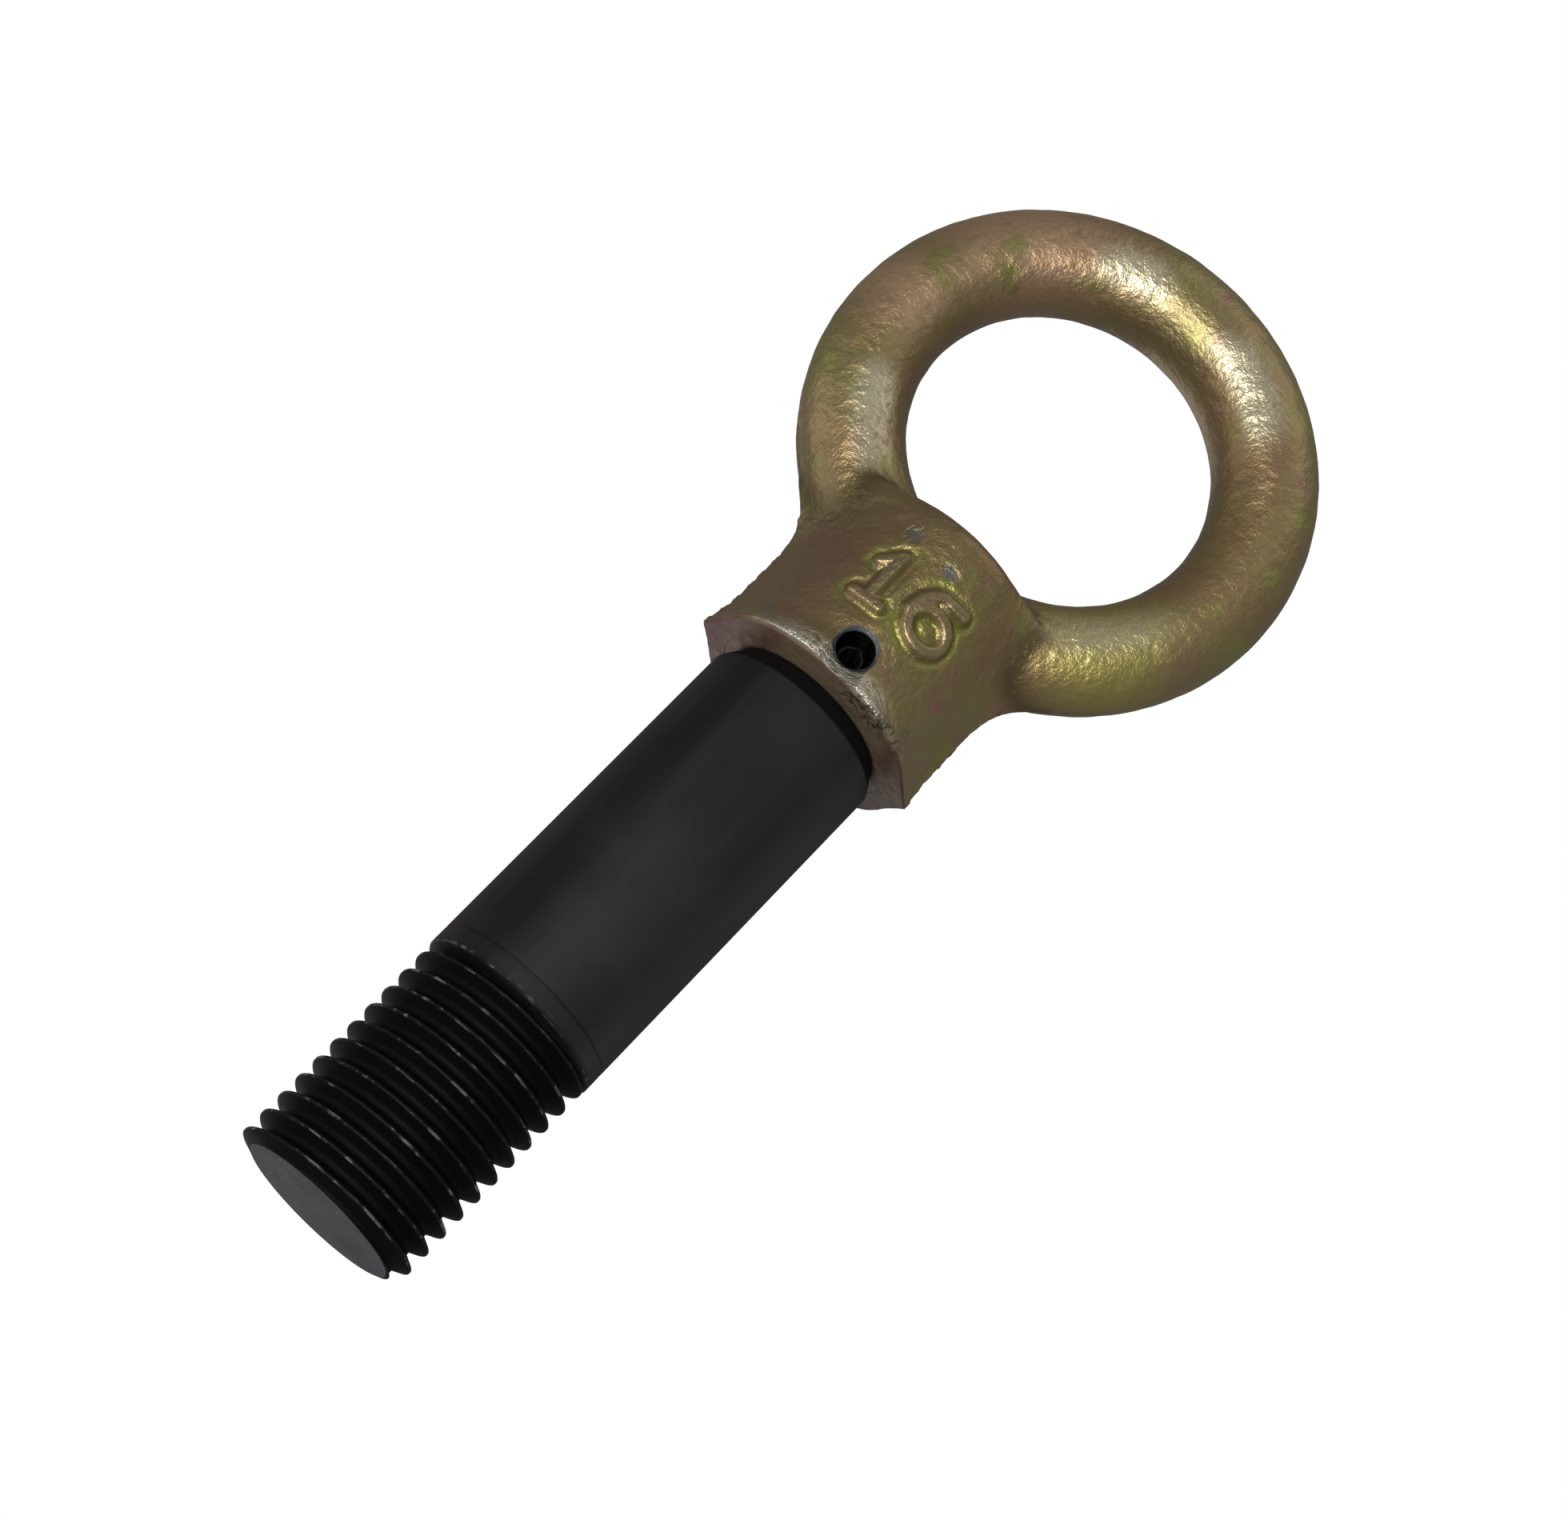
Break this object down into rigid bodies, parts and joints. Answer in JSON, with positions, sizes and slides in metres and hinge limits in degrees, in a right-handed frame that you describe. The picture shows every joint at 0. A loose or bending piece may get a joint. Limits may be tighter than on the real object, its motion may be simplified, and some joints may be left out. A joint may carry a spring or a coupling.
{
  "type": "shouldered eye bolt",
  "caption": "Forged round lifting eye pinned onto a black turned stud with a plain shank and a coarse thread at its lower end.",
  "frame": {"origin": "centre of the eye's flat seat, where it meets the stud's shank", "axes": "+Z along the stud's axis, up through the eye; the ring lies in the XZ plane; the locking pin runs along Y, with the marked front of the boss facing -Y"},
  "size_m": [0.0637, 0.0326, 0.1574],
  "materials": {
    "yellow_zinc_steel": "drop-forged steel, yellow zinc with an olive to pinkish iridescence, satin with worn bright edges",
    "black_oxide_steel": "turned steel, black oxide, satin on the shank and oily on the thread",
    "spring_steel": "blackened spring steel"
  },
  "bodies": {
    "root": {"forged_eye": "yellow_zinc_steel", "threaded_stud": "black_oxide_steel", "roll_pin": "spring_steel"}
  },
  "joints": []
}
